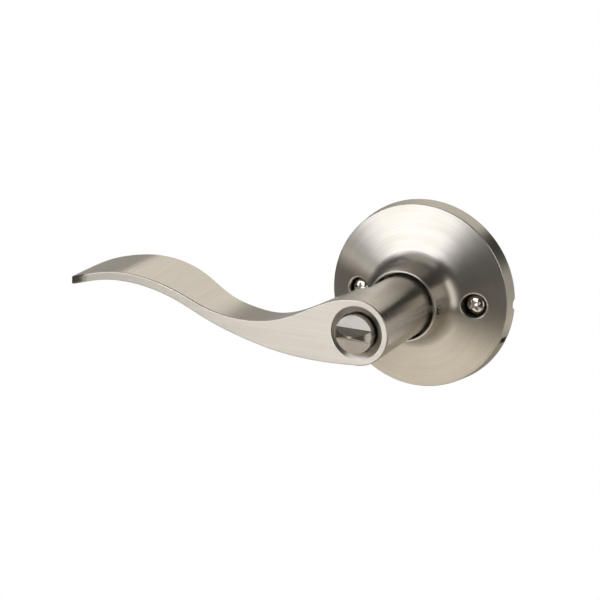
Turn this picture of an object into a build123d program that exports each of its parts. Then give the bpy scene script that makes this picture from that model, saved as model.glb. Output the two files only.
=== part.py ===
"""Inside half of a privacy door lever set: rose, sprung lever, turn button and lever catch.

Frame: the origin is the centre of the rose's back on the lever axis, which is the Y axis.
-Y points out of the door into the room, +Y into the door, +Z is up, and the lever points to -X.
"Height" means the distance out of the door, so a point at height h has y = -h.
"""
from build123d import *
import os
from math import asin, degrees, radians, sin, sqrt

# ---------------------------------------------------------------- driving dimensions, mm
ROSE_R = 33.0                # rose, 2.6 in across
ROSE_FRONT_R = 32.3
ROSE_RIM_HEIGHT = 6.2
ROSE_SHEET = 1.0
NECK_FOOT = (13.65, 11.25)   # where the dish's slope and the neck's taper would meet
NECK_FLARE_R = 6.5
NECK_LIP_R = 12.6
NECK_TOP = 22.3
LIP_ROUND = 0.4
WELL_ROUND = 0.65
RIM_ROUND = 0.3
BACK_ROUND = 0.4

SCREW_SPACING = 42.4         # centre to centre
SCREW_THREAD_R = 2.08        # 8-32 thread
SCREW_SHANK_R = 1.85         # plain shank above the rolled thread
SCREW_HEAD_R = 3.75
SCREW_HEAD_SEAT = 4.95
SCREW_HEAD_TOP = 7.8
SCREW_THREAD_START = 0.0     # the thread begins behind the chassis
SCREW_END = -20.4            # 1 in under the head
WELL_R = 4.1                 # rose's holes over the screw heads
WELL_FOOT = 5.2

CHASSIS_R = 31.2
CHASSIS_BASE = 2.2
FLANGE_R = 31.85             # thin flange that fills the rose's mouth
FLANGE = 0.5
DRUM_R = 16.1
DRUM_BORE_R = 15.0
DRUM_TOP = 8.0
COVER_TOP = 8.8
COVER_GAP = 0.05

SLEEVE_R = 8.3
SLEEVE_BORE_R = 6.7
SLEEVE_BACK = -3.2
SLEEVE_FRONT = 30.0
SLEEVE_FLAT = 7.6            # half the distance across the flats that drive the cam
RUNNING = 0.05               # radial clearance of each turning fit
SLEEVE_END_GAP = 0.5
CUT = 1.0                    # how far a cut passes the surface it opens
SAME = 0.01                  # two sizes this close are the same

CAM_BACK = 2.3
CAM_FRONT = 3.6
CAM_R = 12.2
EAR_INNER_R = 12.5
EAR_OUTER_R = 13.9
EAR_HALF_WIDTH = 2.2
EAR_TOP = 7.9
STOP_ANGLE = 63.0            # from straight up to the middle of each stop
STOP_HALF_WIDTH = 1.5

SPRING_R = 11.2              # middle of the coil
SPRING_WIRE_R = 0.7
SPRING_LOW = 4.45
SPRING_HIGH = 7.25
SPRING_LEG_X = 3.05
SPRING_LEG_R = 14.4

CLIP_BACK = -2.15
CLIP_FRONT = -1.05

SPINDLE_SIDE = 8.0           # common square spindle
SPINDLE_BORE_R = 2.4
SPINDLE_END = -42.0
HOLDER_FRONT = 12.0
SPINDLE_HEAD_R = 6.0
SPINDLE_HEAD_FRONT = 13.3
BAR_WIDTH = 4.0
BAR_THICKNESS = 1.4
BAR_END = -44.0

CATCH_HEIGHT = 19.8
CATCH_R = 1.6
CATCH_END = 10.0
GUIDE_FRONT = 25.0

LEVER_BACK = 10.2
LEVER_FACE = 59.75
HUB_BACK_R = 10.6
HUB_FACE_R = 11.14
BLADE_DEPTH = 21.25          # across the flat of the grip
GRIP_END_X = -100.9          # middle of the grip's round end
BUTTON_HOLE_R = 7.06
BUTTON_DISH_R = 9.08
BUTTON_DISH_DEPTH = 1.2
WEB_BACK = 50.0
WEB_FRONT = 54.0

BUTTON_R = 6.5
BUTTON_FLOOR = 62.0
BUTTON_BACK = 55.0
BUTTON_SHANK_R = 3.45
BUTTON_SHANK_END = 44.0
RIB_HALF_WIDTH = 2.1
RIB_RISE = 3.5
BUTTON_CLIP_BACK = 48.7
BUTTON_CLIP_FRONT = 49.3

NOTCH_Z = 0.3                # lifting notch in the rose's back edge
NOTCH_R = 1.9
SLOT_ANGLE = -22.0
SLOT_WIDTH = 2.2
SLOT_LOW = 0.7
SLOT_HIGH = 4.8

SNAP_R = 3.0                 # bumps that the rose snaps over
SNAP_PROUD = 0.5
SNAP_ANGLE = 60.0
OVERLAP = 0.4
POST_INNER_R = 14.2
STOP_INNER_R = 12.4
RIVET_CIRCLE_R = 14.2
RIVET_ANGLE = -150.0         # first of three, 60 degrees apart
RIVET_POST_R = 1.7
RIVET_R = 0.9
RIVET_END = 4.0
RIVET_HEAD_R = 1.8
RIVET_HEAD = 0.5
BOSS_R = 4.4
BOSS_BORE_R = 2.3
HOLLOW_START = 22.0
HOLLOW_STEP = 35.0
HOLLOW_SWEEP = 31.0
HOLLOWS_PER_SIDE = 4
HOLLOW_INNER_R = 17.5
HOLLOW_OUTER_R = 28.5
HOLLOW_DEPTH = 1.1

BUSH_R = 11.95
BUSH_BORE_R = 10.72
BUSH_LIP_R = 9.2
BUSH_TOP = 15.0
BUSH_CHAMFER = 0.3
WASHER_R = 12.5
SCREW_HEAD_ROUND = 1.2
SCREW_TIP_CHAMFER = 0.6
RECESS_R = 2.1
RECESS_WIDTH = 1.1
RECESS_DEPTH = 1.6
RECESS_TAPER = 8.0
CLIP_GROOVE_R = 7.45
CLIP_R = 10.2
CLIP_GAP = 7.0
CLIP_EYE_X = 4.6
CLIP_EYE_Z = -9.6
CLIP_EYE_R = 0.8
CLIP_EYE_RIM = 0.9
KEY_WIDTH = 3.0
KEY_LENGTH = 6.0
SPINDLE_CHAMFER = 0.6
SPINDLE_CORNER = 0.3
GUIDE_BORE_R = 2.6
GUIDE_POCKET_X = 3.0
GUIDE_POCKET_WIDTH = 5.8
GUIDE_POCKET_LENGTH = 9.2
CATCH_PLATE_X = 5.2
CATCH_PLATE = 5.0
CATCH_PLATE_THICKNESS = 0.8
CATCH_ROUND = 0.3
LEAF_WIDTH = 4.0
LEAF_THICKNESS = 0.35
LEAF_FOOT_X = 3.1
LEAF_CROWN_X = 4.75
LEAF_HALF_LENGTH = 4.2

HUB_HOLLOW_R = 7.2
BUTTON_RIB_R = 6.45
BUTTON_GROOVE_R = 2.75
BAR_FRONT = 52.0
FRICTION_INNER_R = 3.6
FRICTION_OUTER_R = 6.2
FRICTION_SHEET = 0.3
BUTTON_CLIP_R = 5.6
BUTTON_CLIP_RELIEF_R = 4.2
BUTTON_CLIP_LAND = 1.8
BUTTON_CLIP_GAP = 3.6

# Wavy grip, (x, z) from the round tip to the hub.
RIBBON_TOP = [
    (-113.0, 1.0), (-103.0, 5.5), (-94.7, 7.6), (-86.5, 8.4), (-77.7, 7.6), (-66.0, 4.6),
    (-55.0, 0.5), (-43.0, -1.4), (-31.9, -0.4), (-22.0, 3.4), (-12.5, 8.2), (-1.0, 11.0),
]
RIBBON_BOTTOM = [
    (-113.0, -1.6), (-103.0, 2.6), (-94.3, 4.8), (-87.0, 5.3), (-78.0, 4.5), (-66.4, 1.4),
    (-55.0, -3.4), (-41.4, -7.8), (-28.0, -10.6), (-14.0, -11.6), (3.0, -10.72),
]
TWIST = 3.05                 # rise of the grip's back edge over its front edge
TWIST_START = -55.0
TWIST_PHASE = 3.0            # degrees of the rise's half wave per millimetre
DIP = 1.3                    # fall of the back edge beside the hub
DIP_START = -38.0
DIP_PHASE = 5.0
GRIP_WAIST = [                # (x, height) of the grip's back edge, from its straight run to the hub
    (-72.0, 38.5), (-61.0, 39.3), (-50.0, 41.6), (-39.0, 45.0), (-28.0, 47.2), (-17.0, 46.3), (-10.0, 40.0),
]
WAIST_END_SLOPE = (0.35, 1)
EDGE_ROUND = 0.4             # eased edges of the grip and the hub's face

# Plane through the lever axis: x is the distance from the axis, y is the height.
SECTION = Plane(origin=(0, 0, 0), x_dir=(1, 0, 0), z_dir=(0, 0, -1))
SCREW_PLACES = [(SCREW_SPACING / 2, 0), (-SCREW_SPACING / 2, 0)]

os.makedirs("parts", exist_ok=True)


def at_height(height):
    """Plane parallel to the door, seen from the room: x is +X and y is +Z."""
    return Plane.XZ.offset(height)


def side_plane(x):
    """Plane square to X at this x: its x is +Z and its y is the height."""
    return Plane(origin=(x, 0, 0), x_dir=(0, 0, 1), z_dir=(1, 0, 0))


def save(body, name):
    """Label a finished piece and write it."""
    body.part.label = name
    export_step(body.part, f"parts/{name}.step")


# ---------------------------------------------------------------- rose cover
# The inside of the sheet follows the outside at the sheet's thickness.
dish_run = ROSE_FRONT_R - NECK_FOOT[0]
dish_rise = NECK_FOOT[1] - ROSE_RIM_HEIGHT
dish_drop = ROSE_SHEET * sqrt(dish_run**2 + dish_rise**2) / dish_run
inner_foot = (NECK_FOOT[0] - ROSE_SHEET, NECK_FOOT[1] - dish_drop)

with BuildPart() as rose_inside:
    with BuildSketch(SECTION):
        with BuildLine() as inside_line:
            Polyline(
                (0, 0),
                (ROSE_R - ROSE_SHEET, 0),
                (ROSE_FRONT_R - ROSE_SHEET, ROSE_RIM_HEIGHT - dish_drop),
                inner_foot,
                (NECK_LIP_R - ROSE_SHEET, NECK_TOP),
                (0, NECK_TOP),
                close=True,
            )
            foot = inside_line.vertices().sort_by_distance((*inner_foot, 0))[0]
            fillet(foot, NECK_FLARE_R + ROSE_SHEET)
        make_face()
    revolve(axis=Axis.Y)
    with BuildSketch(at_height(WELL_FOOT)):
        with Locations(*SCREW_PLACES):
            Circle(WELL_R + ROSE_SHEET)
    extrude(amount=NECK_TOP, mode=Mode.SUBTRACT)

with BuildPart() as rose_cover:
    with BuildSketch(SECTION):
        with BuildLine() as outside_line:
            Polyline(
                (0, 0),
                (ROSE_R, 0),
                (ROSE_FRONT_R, ROSE_RIM_HEIGHT),
                NECK_FOOT,
                (NECK_LIP_R, NECK_TOP),
                (0, NECK_TOP),
                close=True,
            )
            for corner, radius in (
                (NECK_FOOT, NECK_FLARE_R),
                ((ROSE_FRONT_R, ROSE_RIM_HEIGHT), RIM_ROUND),
                ((ROSE_R, 0), BACK_ROUND),
            ):
                fillet(outside_line.vertices().sort_by_distance((*corner, 0))[0], radius)
        make_face()
    revolve(axis=Axis.Y)
    add(rose_inside.part, mode=Mode.SUBTRACT)
    # holes over the screw heads
    with BuildSketch(at_height(0)):
        with Locations(*SCREW_PLACES):
            Circle(WELL_R)
    extrude(amount=NECK_TOP, mode=Mode.SUBTRACT)
    # round hole in the neck that reaches the lever's catch
    with BuildSketch(side_plane(0)):
        with Locations((0, CATCH_HEIGHT)):
            Circle(CATCH_R)
    extrude(amount=ROSE_R, mode=Mode.SUBTRACT)
    # notch in the back edge and slot in the rim, for the tool that lifts the rose
    with BuildSketch(side_plane(0)):
        with Locations((NOTCH_Z, 0)):
            Circle(NOTCH_R)
    extrude(amount=ROSE_R + CUT, mode=Mode.SUBTRACT)
    with BuildSketch(at_height(SLOT_LOW)):
        with PolarLocations(ROSE_R, 1, start_angle=SLOT_ANGLE):
            Rectangle(4 * ROSE_SHEET, SLOT_WIDTH)
    extrude(amount=SLOT_HIGH - SLOT_LOW, mode=Mode.SUBTRACT)
    # rounded neck lip and rolled rims of the screw holes
    fillet(rose_cover.edges().group_by(Axis.Y)[0], LIP_ROUND)
    wells = rose_cover.faces().filter_by(lambda face: abs((face.radius or 0) - WELL_R) < SAME)
    fillet(wells.edges().filter_by(GeomType.BSPLINE), WELL_ROUND)
save(rose_cover, "rose_cover")

# ---------------------------------------------------------------- chassis under the rose
with BuildSketch() as hollow:
    with BuildLine():
        inner = CenterArc((0, 0), HOLLOW_INNER_R, 0, HOLLOW_SWEEP)
        outer = CenterArc((0, 0), HOLLOW_OUTER_R, 0, HOLLOW_SWEEP)
        Line(inner @ 0, outer @ 0)
        Line(inner @ 1, outer @ 1)
    make_face()

with BuildPart() as chassis:
    with BuildSketch(at_height(0)):
        Circle(CHASSIS_R)
        with PolarLocations(CHASSIS_R - SNAP_R, 3, start_angle=SNAP_ANGLE):
            Circle(SNAP_R + SNAP_PROUD)
    extrude(amount=CHASSIS_BASE)
    with BuildSketch(at_height(0)):
        Circle(FLANGE_R)
    extrude(amount=FLANGE)
    # drum round the return spring
    with BuildSketch(at_height(CHASSIS_BASE)):
        Circle(DRUM_R)
        Circle(DRUM_BORE_R, mode=Mode.SUBTRACT)
    extrude(amount=DRUM_TOP - CHASSIS_BASE)
    # post between the spring's legs, rivet posts, and the two stops for the cam's ear
    with BuildSketch(at_height(CHASSIS_BASE)):
        with Locations((0, (POST_INNER_R + DRUM_BORE_R + OVERLAP) / 2)):
            Rectangle(2 * EAR_HALF_WIDTH, DRUM_BORE_R + OVERLAP - POST_INNER_R)
        with PolarLocations(RIVET_CIRCLE_R, 3, start_angle=RIVET_ANGLE, angular_range=180):
            Circle(RIVET_POST_R)
        with PolarLocations((STOP_INNER_R + DRUM_BORE_R) / 2, 1, start_angle=90 + STOP_ANGLE):
            Rectangle(DRUM_BORE_R + OVERLAP - STOP_INNER_R, 2 * STOP_HALF_WIDTH)
        with PolarLocations((STOP_INNER_R + DRUM_BORE_R) / 2, 1, start_angle=90 - STOP_ANGLE):
            Rectangle(DRUM_BORE_R + OVERLAP - STOP_INNER_R, 2 * STOP_HALF_WIDTH)
    extrude(amount=DRUM_TOP - CHASSIS_BASE)
    # screw bosses
    with BuildSketch(at_height(CHASSIS_BASE)):
        with Locations(*SCREW_PLACES):
            Circle(BOSS_R)
    extrude(amount=SCREW_HEAD_SEAT - CHASSIS_BASE)
    # bores: sleeve, screws, rivets
    with BuildSketch(at_height(0)):
        Circle(SLEEVE_R + RUNNING)
        with Locations(*SCREW_PLACES):
            Circle(BOSS_BORE_R)
        with PolarLocations(RIVET_CIRCLE_R, 3, start_angle=RIVET_ANGLE, angular_range=180):
            Circle(RIVET_R + RUNNING)
    extrude(amount=DRUM_TOP, mode=Mode.SUBTRACT)
    # hollows in the back, between the ribs
    with BuildSketch(at_height(0)):
        for start in (HOLLOW_START, HOLLOW_START + 180):
            with PolarLocations(
                0, HOLLOWS_PER_SIDE, start_angle=start, angular_range=HOLLOWS_PER_SIDE * HOLLOW_STEP
            ):
                add(hollow.sketch)
    extrude(amount=HOLLOW_DEPTH, mode=Mode.SUBTRACT)
save(chassis, "chassis")

# ---------------------------------------------------------------- spring cover and its rivets
with BuildPart() as spring_cover:
    with BuildSketch(at_height(DRUM_TOP + COVER_GAP)):
        Circle(DRUM_R)
        Circle(SLEEVE_R + RUNNING, mode=Mode.SUBTRACT)
        with PolarLocations(RIVET_CIRCLE_R, 3, start_angle=RIVET_ANGLE, angular_range=180):
            Circle(RIVET_R + RUNNING, mode=Mode.SUBTRACT)
    extrude(amount=COVER_TOP - DRUM_TOP - COVER_GAP)
save(spring_cover, "spring_cover")

with BuildPart() as cover_rivets:
    with BuildSketch(at_height(RIVET_END)):
        with PolarLocations(RIVET_CIRCLE_R, 3, start_angle=RIVET_ANGLE, angular_range=180):
            Circle(RIVET_R)
    extrude(amount=COVER_TOP - RIVET_END)
    with BuildSketch(at_height(COVER_TOP)):
        with PolarLocations(RIVET_CIRCLE_R, 3, start_angle=RIVET_ANGLE, angular_range=180):
            Circle(RIVET_HEAD_R)
    extrude(amount=RIVET_HEAD)
    chamfer(cover_rivets.faces().sort_by(Axis.Y)[:3].edges(), RIVET_HEAD / 2)
save(cover_rivets, "cover_rivets")

# ---------------------------------------------------------------- return spring
# A two-way torsion spring: its legs stand up on both sides of the post and the cam's ear.
leg_angle = degrees(asin(SPRING_LEG_X / SPRING_R))
leg_z = sqrt(SPRING_R**2 - SPRING_LEG_X**2)
coil_turns = 2 - 2 * leg_angle / 360
coil_pitch = (SPRING_HIGH - SPRING_LOW) / coil_turns

with BuildLine() as coil_line:
    Helix(
        coil_pitch,
        SPRING_HIGH - SPRING_LOW,
        SPRING_R,
        center=(0, -SPRING_LOW, 0),
        direction=(0, -1, 0),
        lefthand=True,
    )
coil = coil_line.line.rotate(Axis.Y, 180 + leg_angle)

with BuildPart() as return_spring:
    with BuildSketch(Plane(origin=coil @ 0, z_dir=coil % 0)):
        Circle(SPRING_WIRE_R)
    sweep(path=coil, is_frenet=True)
    for x, height in ((SPRING_LEG_X, SPRING_LOW), (-SPRING_LEG_X, SPRING_HIGH)):
        with BuildSketch(Plane.XY.offset(leg_z)):
            with Locations((x, -height)):
                Circle(SPRING_WIRE_R)
        extrude(amount=SPRING_LEG_R - leg_z)
        with Locations((x, -height, leg_z)):
            Sphere(SPRING_WIRE_R)
save(return_spring, "return_spring")

# ---------------------------------------------------------------- neck bush and thrust washer
with BuildPart() as neck_bush:
    with BuildSketch(at_height(COVER_TOP + COVER_GAP)):
        Circle(BUSH_R)
        Circle(BUSH_LIP_R, mode=Mode.SUBTRACT)
    extrude(amount=BUSH_TOP - COVER_TOP - COVER_GAP)
    with BuildSketch(at_height(LEVER_BACK - 2 * RUNNING)):
        Circle(BUSH_BORE_R)
    extrude(amount=BUSH_TOP, mode=Mode.SUBTRACT)
    chamfer(neck_bush.faces().sort_by(Axis.Y)[0].outer_wire().edges(), BUSH_CHAMFER)
save(neck_bush, "neck_bush")

with BuildPart() as thrust_washer:
    with BuildSketch(at_height(CLIP_FRONT + COVER_GAP)):
        Circle(WASHER_R)
        Circle(SLEEVE_R + 3 * RUNNING, mode=Mode.SUBTRACT)
    extrude(amount=-CLIP_FRONT - 2 * COVER_GAP)
save(thrust_washer, "thrust_washer")

# ---------------------------------------------------------------- mounting screws
with BuildPart() as mounting_screws:
    with BuildSketch(at_height(SCREW_HEAD_SEAT)):
        with Locations(*SCREW_PLACES):
            Circle(SCREW_HEAD_R)
    extrude(amount=SCREW_HEAD_TOP - SCREW_HEAD_SEAT)
    fillet(mounting_screws.faces().sort_by(Axis.Y)[:2].edges(), SCREW_HEAD_ROUND)
    with BuildSketch(at_height(SCREW_HEAD_SEAT)):
        with Locations(*SCREW_PLACES):
            Circle(SCREW_SHANK_R)
    extrude(amount=SCREW_THREAD_START - SCREW_HEAD_SEAT)
    with BuildSketch(at_height(SCREW_THREAD_START)):
        with Locations(*SCREW_PLACES):
            Circle(SCREW_THREAD_R)
    extrude(amount=SCREW_END - SCREW_THREAD_START)
    chamfer(mounting_screws.faces().sort_by(Axis.Y)[-2:].edges(), SCREW_TIP_CHAMFER)
    # cross recess, narrowing inwards
    with BuildSketch(at_height(SCREW_HEAD_TOP)):
        with Locations(*SCREW_PLACES):
            Rectangle(2 * RECESS_R, RECESS_WIDTH)
            Rectangle(RECESS_WIDTH, 2 * RECESS_R)
    extrude(amount=-RECESS_DEPTH, taper=RECESS_TAPER, mode=Mode.SUBTRACT)
save(mounting_screws, "mounting_screws")

# ---------------------------------------------------------------- drive sleeve
with BuildPart() as drive_sleeve:
    with BuildSketch(at_height(SLEEVE_BACK)):
        Circle(SLEEVE_R)
        Circle(SLEEVE_BORE_R, mode=Mode.SUBTRACT)
    extrude(amount=SLEEVE_FRONT - SLEEVE_BACK)
    # flats that carry the cam
    with BuildSketch(at_height(SLEEVE_BACK)):
        with Locations((SLEEVE_FLAT + SLEEVE_R, 0), (-SLEEVE_FLAT - SLEEVE_R, 0)):
            Rectangle(2 * SLEEVE_R, 2 * SLEEVE_R)
    extrude(amount=CAM_FRONT + COVER_GAP - SLEEVE_BACK, mode=Mode.SUBTRACT)
    # groove for the retaining ring
    with BuildSketch(at_height(CLIP_BACK - COVER_GAP)):
        Circle(SLEEVE_R + CUT)
        Circle(CLIP_GROOVE_R, mode=Mode.SUBTRACT)
    extrude(amount=CLIP_FRONT - CLIP_BACK + 2 * COVER_GAP, mode=Mode.SUBTRACT)
    # window for the catch and slot for the lever's key
    with BuildSketch(side_plane(0)):
        with Locations((0, CATCH_HEIGHT)):
            Circle(CATCH_R + 2 * RUNNING)
    extrude(amount=SLEEVE_R + CUT, mode=Mode.SUBTRACT)
    with BuildSketch(Plane.XY):
        with Locations((0, -SLEEVE_FRONT)):
            Rectangle(KEY_WIDTH + 2 * RUNNING, 2 * KEY_LENGTH)
    extrude(amount=SLEEVE_R + CUT, mode=Mode.SUBTRACT)
save(drive_sleeve, "drive_sleeve")

# ---------------------------------------------------------------- drive cam with its bent ear
with BuildPart() as drive_cam:
    with BuildSketch(at_height(CAM_BACK)):
        Circle(CAM_R)
        with Locations((0, EAR_OUTER_R / 2)):
            Rectangle(2 * EAR_HALF_WIDTH, EAR_OUTER_R)
        with BuildSketch(at_height(CAM_BACK), mode=Mode.SUBTRACT):
            Circle(SLEEVE_R + RUNNING)
            Rectangle(2 * (SLEEVE_FLAT + RUNNING), 4 * SLEEVE_R, mode=Mode.INTERSECT)
    extrude(amount=CAM_FRONT - CAM_BACK)
    with BuildSketch(at_height(CAM_BACK)):
        with Locations((0, (EAR_INNER_R + EAR_OUTER_R) / 2)):
            Rectangle(2 * EAR_HALF_WIDTH, EAR_OUTER_R - EAR_INNER_R)
    extrude(amount=EAR_TOP - CAM_BACK)
save(drive_cam, "drive_cam")

# ---------------------------------------------------------------- retaining ring on the sleeve
with BuildPart() as retaining_ring:
    with BuildSketch(at_height(CLIP_BACK)):
        Circle(CLIP_R)
        Circle(CLIP_GROOVE_R + RUNNING, mode=Mode.SUBTRACT)
        with Locations((0, -CLIP_R)):
            Rectangle(CLIP_GAP, CLIP_R, mode=Mode.SUBTRACT)
        with Locations((CLIP_EYE_X, CLIP_EYE_Z), (-CLIP_EYE_X, CLIP_EYE_Z)):
            Circle(CLIP_EYE_R + CLIP_EYE_RIM)
        with Locations((CLIP_EYE_X, CLIP_EYE_Z), (-CLIP_EYE_X, CLIP_EYE_Z)):
            Circle(CLIP_EYE_R, mode=Mode.SUBTRACT)
    extrude(amount=CLIP_FRONT - CLIP_BACK)
save(retaining_ring, "retaining_ring")

# ---------------------------------------------------------------- spindle and its holder
with BuildPart() as spindle_holder:
    with BuildSketch(at_height(SLEEVE_BACK)):
        Circle(SLEEVE_BORE_R - RUNNING)
        Rectangle(SPINDLE_SIDE + 2 * RUNNING, SPINDLE_SIDE + 2 * RUNNING, mode=Mode.SUBTRACT)
    extrude(amount=HOLDER_FRONT - SLEEVE_BACK)
save(spindle_holder, "spindle_holder")

with BuildPart() as spindle:
    with BuildSketch(at_height(SPINDLE_END)):
        Rectangle(SPINDLE_SIDE, SPINDLE_SIDE)
    extrude(amount=HOLDER_FRONT + COVER_GAP - SPINDLE_END)
    chamfer(spindle.faces().sort_by(Axis.Y)[-1].edges(), SPINDLE_CHAMFER)
    chamfer(spindle.edges().filter_by(Axis.Y), SPINDLE_CORNER)
    with BuildSketch(at_height(HOLDER_FRONT + COVER_GAP)):
        Circle(SPINDLE_HEAD_R)
    extrude(amount=SPINDLE_HEAD_FRONT - HOLDER_FRONT - COVER_GAP)
    with BuildSketch(at_height(SPINDLE_END)):
        Circle(SPINDLE_BORE_R)
    extrude(amount=SPINDLE_HEAD_FRONT - SPINDLE_END, mode=Mode.SUBTRACT)
save(spindle, "spindle")

# ---------------------------------------------------------------- catch, its guide and its spring
with BuildPart() as catch_guide:
    with BuildSketch(at_height(SPINDLE_HEAD_FRONT + 2 * COVER_GAP)):
        Circle(SLEEVE_BORE_R - RUNNING)
        Circle(GUIDE_BORE_R, mode=Mode.SUBTRACT)
    extrude(amount=GUIDE_FRONT - SPINDLE_HEAD_FRONT - 2 * COVER_GAP)
    with BuildSketch(side_plane(GUIDE_POCKET_X)):
        with Locations((0, CATCH_HEIGHT)):
            Rectangle(GUIDE_POCKET_WIDTH, GUIDE_POCKET_LENGTH)
    extrude(amount=SLEEVE_R, mode=Mode.SUBTRACT)
save(catch_guide, "catch_guide")

with BuildPart() as lever_catch:
    with BuildSketch(side_plane(CATCH_PLATE_X)):
        with Locations((0, CATCH_HEIGHT)):
            RectangleRounded(CATCH_PLATE, CATCH_PLATE, CATCH_PLATE / 8)
    extrude(amount=CATCH_PLATE_THICKNESS)
    with BuildSketch(side_plane(CATCH_PLATE_X)):
        with Locations((0, CATCH_HEIGHT)):
            Circle(CATCH_R)
    extrude(amount=CATCH_END - CATCH_PLATE_X)
    fillet(lever_catch.faces().sort_by(Axis.X)[-1].edges(), CATCH_ROUND)
save(lever_catch, "lever_catch")

with BuildPart() as catch_spring:
    # bowed leaf: both feet rest on the pocket's floor and the crown lifts the catch
    with BuildSketch(Plane.XY.offset(-LEAF_WIDTH / 2)):
        with BuildLine():
            bow = ThreePointArc(
                (LEAF_FOOT_X, -CATCH_HEIGHT + LEAF_HALF_LENGTH),
                (LEAF_CROWN_X, -CATCH_HEIGHT),
                (LEAF_FOOT_X, -CATCH_HEIGHT - LEAF_HALF_LENGTH),
            )
            offset(bow, amount=LEAF_THICKNESS, side=Side.LEFT)
        make_face()
    extrude(amount=LEAF_WIDTH)
save(catch_spring, "catch_spring")

# ---------------------------------------------------------------- lever
def cone_r(height):
    """Radius of the lever's tapered hub at this height."""
    return HUB_BACK_R + (HUB_FACE_R - HUB_BACK_R) * (height - LEVER_BACK) / (LEVER_FACE - LEVER_BACK)


def rise(x):
    """How far the grip's back edge stands above its front edge here."""
    twist_wave = sin(radians(TWIST_PHASE * (TWIST_START - x)))
    dip_wave = sin(radians(DIP_PHASE * (x - DIP_START)))
    return TWIST * max(0.0, twist_wave) - DIP * max(0.0, dip_wave)


def twisted(points):
    """The same edge of the ribbon at the grip's back, ending on the narrower hub."""
    x, z = points[-1]
    hub_end = (x, z * cone_r(grip_back) / HUB_FACE_R)
    return [(x, z + rise(x)) for x, z in points[:-1]] + [hub_end]


grip_back = LEVER_FACE - BLADE_DEPTH
with BuildPart() as blade:
    for height, top_points, bottom_points in (
        (LEVER_FACE, RIBBON_TOP, RIBBON_BOTTOM),
        (grip_back, twisted(RIBBON_TOP), twisted(RIBBON_BOTTOM)),
    ):
        with BuildSketch(at_height(height)):
            with BuildLine():
                top = Spline(*top_points)
                bottom = Spline(*bottom_points)
                Line(top @ 0, bottom @ 0)
                Line(top @ 1, bottom @ 1)
            make_face()
    loft(ruled=True)
    # seen from above, the grip ends round and narrows towards the hub
    with BuildSketch(Plane.XY.offset(-2 * HUB_FACE_R)):
        with BuildLine():
            front = Line((0, -LEVER_FACE), (GRIP_END_X, -LEVER_FACE))
            tip = TangentArc(front @ 1, (GRIP_END_X, -grip_back), tangent=(-1, 0))
            straight = Line(tip @ 1, (GRIP_WAIST[0][0], -grip_back))
            waist = Spline(
                straight @ 1,
                *[(x, -height) for x, height in GRIP_WAIST[1:]],
                tangents=((1, 0), WAIST_END_SLOPE),
            )
            Polyline(waist @ 1, (0, (waist @ 1).Y), front @ 0)
        make_face()
    extrude(amount=4 * HUB_FACE_R, mode=Mode.INTERSECT)
    outer_edges = blade.edges().filter_by(GeomType.BSPLINE).filter_by(
        lambda edge: edge.center().X < GRIP_WAIST[4][0]
    )
    fillet(outer_edges, EDGE_ROUND)

with BuildPart() as lever:
    with BuildSketch(SECTION):
        Polygon(
            (0, LEVER_BACK),
            (HUB_BACK_R, LEVER_BACK),
            (HUB_FACE_R, LEVER_FACE),
            (0, LEVER_FACE),
            align=None,
        )
    revolve(axis=Axis.Y)
    fillet(lever.faces().sort_by(Axis.Y)[0].edges(), EDGE_ROUND)
    add(blade.part)
    # bore over the sleeve, lightening bore, web, button hole and its dished rim
    with BuildSketch(SECTION):
        Polygon(
            (0, LEVER_BACK),
            (SLEEVE_R + RUNNING, LEVER_BACK),
            (SLEEVE_R + RUNNING, SLEEVE_FRONT + SLEEVE_END_GAP),
            (HUB_HOLLOW_R, SLEEVE_FRONT + SLEEVE_END_GAP),
            (HUB_HOLLOW_R, WEB_BACK),
            (BUTTON_SHANK_R + RUNNING, WEB_BACK),
            (BUTTON_SHANK_R + RUNNING, WEB_FRONT),
            (BUTTON_HOLE_R, WEB_FRONT),
            (BUTTON_HOLE_R, LEVER_FACE - BUTTON_DISH_DEPTH),
            (BUTTON_DISH_R, LEVER_FACE),
            (0, LEVER_FACE),
            align=None,
        )
    revolve(axis=Axis.Y, mode=Mode.SUBTRACT)
    # key that turns the sleeve
    with BuildSketch(at_height(SLEEVE_FRONT - KEY_LENGTH + RUNNING)):
        with Locations((0, (SLEEVE_BORE_R + SLEEVE_R) / 2 + OVERLAP)):
            Rectangle(KEY_WIDTH, SLEEVE_R - SLEEVE_BORE_R + OVERLAP)
    extrude(amount=KEY_LENGTH + CUT)
    # hole that the catch springs into
    with BuildSketch(side_plane(0)):
        with Locations((0, CATCH_HEIGHT)):
            Circle(CATCH_R + 4 * RUNNING)
    extrude(amount=2 * HUB_FACE_R, mode=Mode.SUBTRACT)
save(lever, "lever")

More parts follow.
